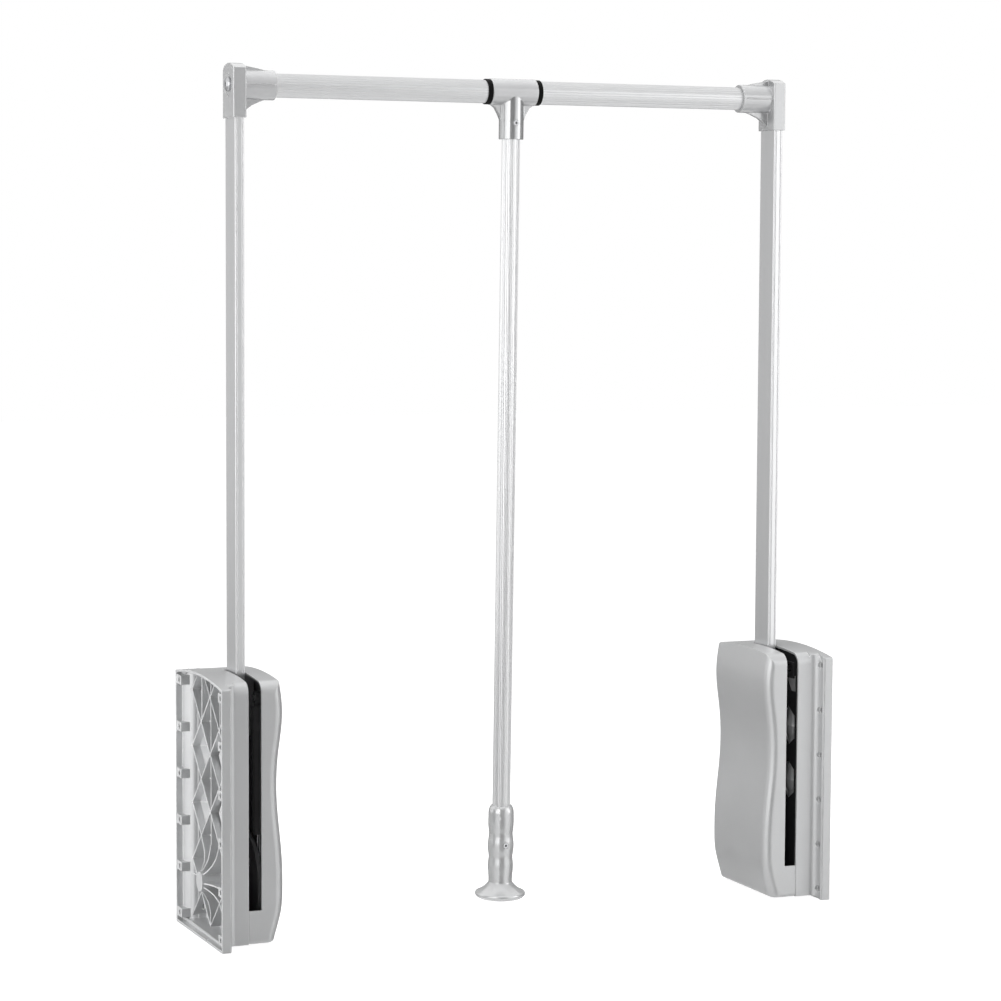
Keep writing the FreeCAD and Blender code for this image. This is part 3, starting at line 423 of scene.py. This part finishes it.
# %% [markdown]
# ## Shared effects: moulded skin
# Black nylon parts come out of a spark-eroded mould with a fine pebbled skin. Cells of a Voronoi texture
# mixed with noise give rounded pebbles, which plain noise would not.

# %% Group for moulded skin
CELL_SHARE = 0.6       # how much of the relief the cells give; the noise gives the rest
FLOW_SCALE = 22.0

tree, given, result = new_group(
    "moulded skin",
    {"Pebbles": (NUMBER, 1500.0), "Contrast": (NUMBER, 0.25)},
    {"Tone": NUMBER, "Height": NUMBER, "Unevenness": NUMBER})
place = put(tree, "ShaderNodeTexCoord").outputs["Object"]
cells = put(tree, "ShaderNodeTexVoronoi", {"Vector": place, "Scale": given["Pebbles"]}).outputs["Distance"]
grit = texture(tree, place, given["Pebbles"], 3.0)
flow = put(tree, "ShaderNodeTexNoise", {"Vector": place, "Scale": FLOW_SCALE, "Distortion": 1.5}).outputs[0]
pebbles = maths(tree, "ADD", maths(tree, "MULTIPLY", cells, CELL_SHARE),
                maths(tree, "MULTIPLY", grit, 1.0 - CELL_SHARE))
swing = maths(tree, "MULTIPLY", maths(tree, "SUBTRACT", flow, 0.5), given["Contrast"])
tree.links.new(maths(tree, "ADD", swing, 1.0), result.inputs["Tone"])
tree.links.new(pebbles, result.inputs["Height"])
tree.links.new(flow, result.inputs["Unevenness"])
moulded_skin = tree
print("group", tree.name, "with", len(tree.nodes), "nodes")

# %% [markdown]
# ## Shared effects: settled dust and painted recess shade
# Hardware that has been in a shop gathers a little dust in its inner corners and on what faces up. The
# Ambient Occlusion node finds the corners, and the object's own normal tells what faces up, so that the
# dust stays where it is when an arm swings. The screws use the same corner mask with a near-black colour,
# which is painted shade in their recesses.

# %% Group for settled dust and painted recess shade
CORNER_STARTS = 0.75   # the open share of the surroundings where a corner starts
CORNER_FULL = 0.1      # and where it holds the most dust
TOP_STARTS = 0.6       # the upward share of the normal where dust starts to lie

tree, given, result = new_group(
    "settled dust",
    {"Reach": (NUMBER, 0.006), "Corners": (NUMBER, 0.5), "Tops": (NUMBER, 0.08)},
    {"Mask": NUMBER})
coordinates = put(tree, "ShaderNodeTexCoord").outputs
hollow = put(tree, "ShaderNodeAmbientOcclusion", {"Distance": given["Reach"]}, samples=6).outputs["AO"]
# the corner mask is dust on most finishes, and painted shade in the screw recesses
corners = ranged(tree, hollow, CORNER_STARTS, CORNER_FULL)
upward = put(tree, "ShaderNodeSeparateXYZ", {0: coordinates["Normal"]}).outputs["Z"]
tops = ranged(tree, upward, TOP_STARTS, 1.0)
speckle = ranged(tree, texture(tree, coordinates["Object"], 240.0, 5.0), 0.35, 0.7)
gathered = maths(tree, "ADD", maths(tree, "MULTIPLY", corners, given["Corners"]),
                 maths(tree, "MULTIPLY", tops, given["Tops"]))
tree.links.new(maths(tree, "MULTIPLY", gathered, speckle, clamp=True), result.inputs["Mask"])
dust_and_recess_shade = tree
print("group", tree.name, "with", len(tree.nodes), "nodes")

# %% [markdown]
# ## From effects to finishes
# All finishes share one way of layering: the body colour, toned by the grain, then the edge colour, lighter
# where it is a painted highlight along the edge and darker where it is wear, then dust, which on the screws
# is painted shade in their recesses. The roughness follows the same masks. What stays the same all over a
# surface, such as the metal share of a tube or a clear coat, is set on the Principled shader itself.

# %% Layered finish
DUST_COLOR = (0.62, 0.60, 0.57, 1.0)
DUST_DULLS = 0.3       # how much rougher full dust is


def finish(name, color, grain, values, roughness, swing, bump, edge, edge_wear_and_highlight_color, dust_and_shade,
           dust_and_shade_color=DUST_COLOR, **shader_values):
    """A material: coloured grain, edge wear with painted edge highlights, and dust on a Principled shader.

    The values, edge and dust_and_shade tables fill the sockets of the three groups; the last paints dust, and on
    the screws shade in their recesses. The roughness varies by the swing either way, and bump holds the
    strength and the height of the relief.
    """
    material = bpy.data.materials.new(name)
    material.use_nodes = True
    tree = material.node_tree
    tree.nodes.clear()
    grained = put(tree, "ShaderNodeGroup", node_tree=grain)
    edge_wear_and_highlight_node = put(tree, "ShaderNodeGroup", node_tree=edge_wear_and_highlight)
    dust_and_shade_node = put(tree, "ShaderNodeGroup", node_tree=dust_and_recess_shade)
    for node, settings in ((grained, values), (edge_wear_and_highlight_node, edge), (dust_and_shade_node, dust_and_shade)):
        for label, value in settings.items():
            node.inputs[label].default_value = value
    tone = put(tree, "ShaderNodeCombineColor", {i: grained.outputs["Tone"] for i in range(3)}).outputs[0]
    toned = blended(tree, 1.0, (*color, 1.0), tone, "MULTIPLY")
    # a lighter edge colour is a painted highlight along the edge; a darker one is wear
    edged = blended(tree, edge_wear_and_highlight_node.outputs["Mask"], toned, (*edge_wear_and_highlight_color, 1.0))
    # dust, and on the screws painted shade in the recesses
    dusted_and_shaded = blended(tree, dust_and_shade_node.outputs["Mask"], edged, dust_and_shade_color)
    uneven = ranged(tree, grained.outputs["Unevenness"], 0.3, 0.7, roughness - swing, roughness + swing)
    dulled = maths(tree, "MULTIPLY_ADD", dust_and_shade_node.outputs["Mask"], DUST_DULLS, uneven, clamp=True)
    relief = put(tree, "ShaderNodeBump", {"Height": grained.outputs["Height"], "Strength": bump[0],
                                          "Distance": bump[1]}).outputs[0]
    shader = put(tree, "ShaderNodeBsdfPrincipled", {
        "Base Color": dusted_and_shaded, "Roughness": dulled, "Normal": relief, **shader_values})
    put(tree, "ShaderNodeOutputMaterial", {"Surface": shader.outputs[0]})
    return material


print("layered finish ready")

# %% [markdown]
# ## Silver paint on the housings and the grip
# The housings, their covers and the grip are plastic with a satin silver paint. The paint is partly
# metallic: it mirrors bright surroundings like metal, but keeps a body colour in the shade. Three variants
# keep the separately sprayed parts from looking like one, and the grip's is the smoothest. Its paler colour
# is painted light, standing in for the brighter surroundings it would mirror, and the near-white edge colour
# is a painted highlight along the edges.

# %% Silver paints
finishes = {}
for slot, color, roughness in (
        ("housing_plastic", (0.54, 0.545, 0.55), 0.34),
        ("cover_plastic", (0.54, 0.545, 0.55), 0.33),
        # paler than the housings: painted light
        ("grip_plastic", (0.66, 0.665, 0.67), 0.21)):
    finishes[slot] = finish(
        "silver paint, " + slot.split("_")[0], color, satin_grain,
        {"Fine scale": 2400.0, "Broad scale": 12.0, "Fleck": 0.22, "Cloud": 0.10},
        roughness, swing=0.04, bump=(0.10, 0.00004),
        # near-white edges: a painted highlight along the edges, and some wear
        edge={"Width": 0.0009, "Patches": 45.0, "Amount": 0.8}, edge_wear_and_highlight_color=(0.90, 0.90, 0.90),
        dust_and_shade={"Reach": 0.005, "Corners": 0.15, "Tops": 0.03},
        Metallic=0.4, **{"Coat Weight": 0.3, "Coat Roughness": 0.10})
print("paints", list(finishes))

# %% [markdown]
# ## Black parts
# The truss plate, the hub disc and the end rings are black nylon with a pebbled skin. The rings come out
# the deepest black. The hub, which turns with the arm, and the gas spring's tube sit deep in the slot, where
# little light reaches; their lighter grey is painted light. The gas spring's tube has a glossier enamel, and
# the buffer is dull rubber. The lighter edge colours are painted highlights. What tells these blacks apart is
# mostly their gloss.

# %% Black finishes
BLACK_PARTS = {
    "black_plastic": dict(color=(0.016, 0.016, 0.017), edge=(0.05, 0.05, 0.055), rough=0.38, pebbles=1300),
    "ring_plastic": dict(color=(0.004, 0.004, 0.004), edge=(0.01, 0.01, 0.01), rough=0.50, pebbles=1300),
    # the hub's grey is painted light for the dark slot
    "hub_plastic": dict(color=(0.14, 0.14, 0.145), edge=(0.25, 0.25, 0.25), rough=0.36, pebbles=1300),
    # the enamel's grey is painted light for the dark slot too
    "black_enamel": dict(color=(0.090, 0.090, 0.093), edge=(0.20, 0.20, 0.20), rough=0.22, pebbles=500),
    "buffer_rubber": dict(color=(0.028, 0.027, 0.026), edge=(0.06, 0.06, 0.06), rough=0.75, pebbles=900),
}
for slot, look in BLACK_PARTS.items():
    finishes[slot] = finish(
        slot.replace("_", " "), look["color"], moulded_skin,
        {"Pebbles": look["pebbles"], "Contrast": 0.3},
        look["rough"], swing=0.06, bump=(0.25, 0.00005),
        # lighter edge colours: painted highlights along the edges, and some wear
        edge={"Width": 0.0006, "Patches": 90.0, "Amount": 0.55}, edge_wear_and_highlight_color=look["edge"],
        dust_and_shade={"Reach": 0.006, "Corners": 0.03, "Tops": 0.01},
        **{"Specular IOR Level": 0.08})
print("black", list(BLACK_PARTS))

# %% [markdown]
# ## Bearing plastic
# The bush in the arm's foot is natural acetal, an off-white plastic that lets some light in. A little
# subsurface scattering would show that, but the bush is hidden deep in the hub, so a soft gloss will do.

# %% Bearing plastic
finishes["bearing_plastic"] = finish(
    "natural acetal", (0.74, 0.73, 0.69), moulded_skin, {"Pebbles": 900.0, "Contrast": 0.08},
    roughness=0.35, swing=0.04, bump=(0.1, 0.00003),
    edge={"Width": 0.0005, "Patches": 80.0, "Amount": 0.2}, edge_wear_and_highlight_color=(0.55, 0.54, 0.50),
    dust_and_shade={"Reach": 0.004, "Corners": 0.2, "Tops": 0.0})
print("bearing plastic ready")

# %% [markdown]
# ## Drawn aluminium
# The arms and the pull rod stand upright and the bar lies along X, so their die lines run in different
# directions. The anodised skin is clear and satin: nearly all metallic, with a roughness that changes slowly
# along the tube. The pull rod is a little paler than the rest.

# %% Aluminium finishes
for slot, stretch, color in (
        ("arm_aluminium", (1100.0, 1100.0, 6.0), (0.68, 0.684, 0.69)),
        ("bar_aluminium", (30.0, 1400.0, 1400.0), (0.65, 0.654, 0.66)),
        ("rod_aluminium", (1400.0, 1400.0, 30.0), (0.77, 0.774, 0.78))):
    finishes[slot] = finish(
        "satin anodised " + slot.split("_")[0], color, drawn_lines, {"Stretch": stretch, "Contrast": 0.05},
        roughness=0.33, swing=0.03, bump=(0.05, 0.00002),
        # lighter edge colour: a painted highlight along the edges, and some wear
        edge={"Width": 0.0006, "Patches": 70.0, "Amount": 0.4}, edge_wear_and_highlight_color=(0.82, 0.82, 0.82),
        dust_and_shade={"Reach": 0.003, "Corners": 0.15, "Tops": 0.03},
        Metallic=0.92, Anisotropic=0.4)
print("aluminium ready")

# %% [markdown]
# ## Castings, steel and chrome
# The connectors and the T piece are zinc castings under a silver lacquer that is brighter and smoother than
# the paint on plastic. Screws are zinc plated, and their recesses get a near-black colour from the corner
# mask: painted shade. The inner tube and the piston rods are hard chromed.

# %% Metal finishes
# near-black painted shade for the screw recesses
RECESS_SHADE_COLOR = (0.012, 0.011, 0.010, 1.0)
finishes["cast_metal"] = finish(
    "silver lacquer on a casting", (0.56, 0.564, 0.57), satin_grain,
    {"Fine scale": 1500.0, "Broad scale": 40.0, "Fleck": 0.16, "Cloud": 0.12},
    roughness=0.21, swing=0.04, bump=(0.18, 0.00006),
    # lighter edge colour: a painted highlight along the edges, and some wear
    edge={"Width": 0.0010, "Patches": 60.0, "Amount": 0.5}, edge_wear_and_highlight_color=(0.85, 0.85, 0.85),
    dust_and_shade={"Reach": 0.004, "Corners": 0.3, "Tops": 0.04},
    Metallic=0.6, **{"Coat Weight": 0.3, "Coat Roughness": 0.18})
finishes["steel"] = finish(
    "zinc plated steel", (0.58, 0.585, 0.60), satin_grain,
    {"Fine scale": 3200.0, "Broad scale": 160.0, "Fleck": 0.12, "Cloud": 0.2},
    roughness=0.20, swing=0.05, bump=(0.12, 0.00003),
    # lighter edge colour: a painted highlight along the edges, and some wear
    edge={"Width": 0.0004, "Patches": 200.0, "Amount": 0.5}, edge_wear_and_highlight_color=(0.80, 0.80, 0.80),
    dust_and_shade={"Reach": 0.003, "Corners": 1.0, "Tops": 0.0},
    # the corner mask paints near-black shade into the recesses
    dust_and_shade_color=RECESS_SHADE_COLOR, Metallic=1.0)
finishes["polished_steel"] = finish(
    "hard chromed steel", (0.72, 0.73, 0.74), drawn_lines,
    {"Stretch": (25.0, 900.0, 900.0), "Contrast": 0.05},
    roughness=0.10, swing=0.04, bump=(0.06, 0.00002),
    # lighter edge colour: a painted highlight along the edges, and some wear
    edge={"Width": 0.0004, "Patches": 200.0, "Amount": 0.3}, edge_wear_and_highlight_color=(0.85, 0.85, 0.85),
    dust_and_shade={"Reach": 0.002, "Corners": 0.2, "Tops": 0.0},
    Metallic=1.0)
print(len(finishes), "finishes")

# %% [markdown]
# ## Finishes onto the solids
# The record says which material slot each node belongs to. The finish of that slot goes into the object's
# own material slots, so the mesh stays as it was packed. The rings get their own black, and the hubs a
# lighter grey that is painted light.

# %% Assign the finishes
slot_of = {part["node"]: part["material_slot"] for part in frame["record"]["subparts"]}
look_of = dict(slot_of)
for side in SIDES:
    look_of[side + "end_ring"] = "ring_plastic"
    look_of[side + "hub_disc"] = "hub_plastic"
for name, item in nodes.items():
    for material_slot in item.material_slots:
        material_slot.link = "OBJECT"
        material_slot.material = finishes[look_of[name]]
print("finishes on", len(nodes), "nodes")

# %% [markdown]
# ## Softer edges
# A solid from a CAD program has edges of zero radius, which never catch the light. Real moulded and cast
# edges do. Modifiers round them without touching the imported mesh: Weld closes the seams between faces,
# Bevel rounds the sharp edges, and Weighted Normal keeps the flat faces looking flat. The T piece is rounder
# in its inner corners too, where the stem grows out of the sleeve, so it is remeshed and smoothed instead.

# %% Rounding modifiers
SEAM = 0.002 * MM
CAST_GRAIN = 0.4 * MM
CAST_PASSES = 4
CAST_SMOOTHING = 0.5   # share of the way to the neighbours in each pass
GRIP_EDGE = 0.5 * MM


def round_edges(item, width, segments=2, angle=28.0):
    """Rounds the sharp edges of a node with modifiers."""
    weld = item.modifiers.new("close seams", "WELD")
    weld.merge_threshold = SEAM
    bevel = item.modifiers.new("round the edges", "BEVEL")
    bevel.width = width
    bevel.segments = segments
    bevel.limit_method = "ANGLE"
    bevel.angle_limit = math.radians(angle)
    bevel.use_clamp_overlap = False
    bevel.loop_slide = False
    normals = item.modifiers.new("keep flats flat", "WEIGHTED_NORMAL")
    normals.keep_sharp = True


def cast_skin(item, grain, passes):
    """Rounds a casting inside and out: a fine remesh, then smoothing."""
    weld = item.modifiers.new("close seams", "WELD")
    weld.merge_threshold = SEAM
    remesh = item.modifiers.new("cast skin", "REMESH")
    remesh.mode = "VOXEL"
    remesh.voxel_size = grain
    remesh.use_smooth_shade = True
    smooth = item.modifiers.new("soften", "SMOOTH")
    smooth.factor = CAST_SMOOTHING
    smooth.iterations = passes


EDGE_WIDTHS = {
    "mount_shell": 0.45, "guide_plate": 0.35, "inner_cover": 0.45, "hub_disc": 0.25, "end_ring": 0.4,
    "rod_yoke": 0.4, "spring_cylinder": 0.4, "arm_buffer": 0.6, "connector_screw": 0.25, "bar_plug": 0.3,
    "corner_connector": 0.45, "arm_tube": 0.3}
for side in SIDES:
    for name, width in EDGE_WIDTHS.items():
        round_edges(nodes[side + name], width * MM)
cast_skin(nodes["tee_piece"], CAST_GRAIN, CAST_PASSES)
round_edges(nodes["grip"], GRIP_EDGE)
print("rounded", 2 * len(EDGE_WIDTHS) + 1, "nodes and the T piece")

# %% [markdown]
# ## The twisted pull rod
# The pull rod is an aluminium tube with fine flutes that wind slowly round it. They give grip and hide
# scratches. A screw modifier could sweep a profile, but then the flutes would be a stack of flat turns. It
# is simpler to lay rings of points one above the other and to turn each ring a little further.

# %% Profile of the flutes
FLUTES = 28
STEPS = 10             # points in one flute
CREST = 0.5            # share of a flute that stays at the full radius


def flute_depth(share, depth):
    """How far a point lies below the crest, at a share of one flute."""
    if share <= CREST:
        return 0.0
    inside = (share - CREST) / (1.0 - CREST)
    return depth * math.sin(math.pi * inside) ** 2


def fluted_ring(radius, depth, turn):
    """The points of one ring round the Z axis, turned by an angle."""
    count = FLUTES * STEPS
    points = []
    for number in range(count):
        share = (number % STEPS) / STEPS
        angle = turn + 2 * math.pi * number / count
        distance = radius - flute_depth(share, depth)
        points.append((distance * math.cos(angle), distance * math.sin(angle)))
    return points


print("one ring has", len(fluted_ring(1.0, 0.1, 0.0)), "points")

# %% [markdown]
# The rod hangs back a little from the bar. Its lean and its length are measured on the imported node: the
# middle of its highest points and the middle of its lowest points give the axis.

# %% Measure the rod's axis
ROD_RADIUS = 9.2 * MM
ROD_BORE = 7.7 * MM
ROD_TWIST = math.radians(-0.156) / MM
CAP_DEPTH = 0.6 * MM


def cap_centre(item, upward):
    """The middle of a tube's end face, from the points nearest to that end."""
    points = [vertex.co.copy() for vertex in item.data.vertices]
    furthest = max(upward * co.z for co in points)
    end = [co for co in points if furthest - upward * co.z < CAP_DEPTH]
    low = Vector(map(min, zip(*end)))
    high = Vector(map(max, zip(*end)))
    return (low + high) / 2


rod_top = cap_centre(nodes["pull_rod"], 1)
rod_bottom = cap_centre(nodes["pull_rod"], -1)
rod_axis = (rod_top - rod_bottom).normalized()
rod_length = (rod_top - rod_bottom).length
rod_lean = math.degrees(rod_axis.angle(Vector((0, 0, 1))))
print("rod", round(rod_length, 4), "m long, leaning", round(rod_lean, 2), "degrees")

# %% [markdown]
# The mesh is a stack of rings from low to high, closed by a bore inside. It is built upright and then turned
# onto the axis, and it rides on the handle like the node that it stands for.

# %% Pull rod


def link_mesh(name, mesh, body, look):
    """Puts a new mesh in the scene, on its body and with its finish."""
    item = bpy.data.objects.new(name, mesh)
    bpy.context.scene.collection.objects.link(item)
    mesh.materials.append(finishes[look])
    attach(item, body)
    return item


def tube_mesh(name, outer_rings, bore):
    """A closed tube: rings of outer points from low to high, and a round bore."""
    mesh = bmesh.new()
    count = len(outer_rings[0][1])
    rings = [[mesh.verts.new((x, y, height)) for x, y in points] for height, points in outer_rings]
    for height in (outer_rings[-1][0], outer_rings[0][0]):
        turn = [2 * math.pi * number / count for number in range(count)]
        rings.append([mesh.verts.new((bore * math.cos(a), bore * math.sin(a), height)) for a in turn])
    for lower, upper in zip(rings, rings[1:] + rings[:1]):
        for number in range(count):
            after = (number + 1) % count
            mesh.faces.new((lower[number], lower[after], upper[after], upper[number]))
    bmesh.ops.recalc_face_normals(mesh, faces=mesh.faces)
    made = bpy.data.meshes.new(name)
    mesh.to_mesh(made)
    mesh.free()
    made.shade_smooth()
    return made


ROD_STEP = 6.0 * MM
FLUTE_DEPTH = 0.62 * MM
ring_count = int(rod_length / ROD_STEP) + 1
rod_rings = []
for number in range(ring_count + 1):
    height = rod_length * number / ring_count
    turn = ROD_TWIST * (height - rod_length)
    rod_rings.append((height, fluted_ring(ROD_RADIUS, FLUTE_DEPTH, turn)))
rod_mesh = tube_mesh("pull_rod_twisted", rod_rings, ROD_BORE)
lean = Vector((0, 0, 1)).rotation_difference(rod_axis).to_matrix().to_4x4()
rod_mesh.transform(Matrix.Translation(rod_bottom) @ lean)
pull_rod = link_mesh("pull_rod_twisted", rod_mesh, "pull_handle", "rod_aluminium")
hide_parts("pull_rod")
print("pull rod", len(rod_mesh.polygons), "faces")

# %% [markdown]
# ## Finish
# The view layer is brought up to date with the dressed part. The dressed part must not
# grow past the imported solids.

# %% Finish
bpy.context.view_layer.update()
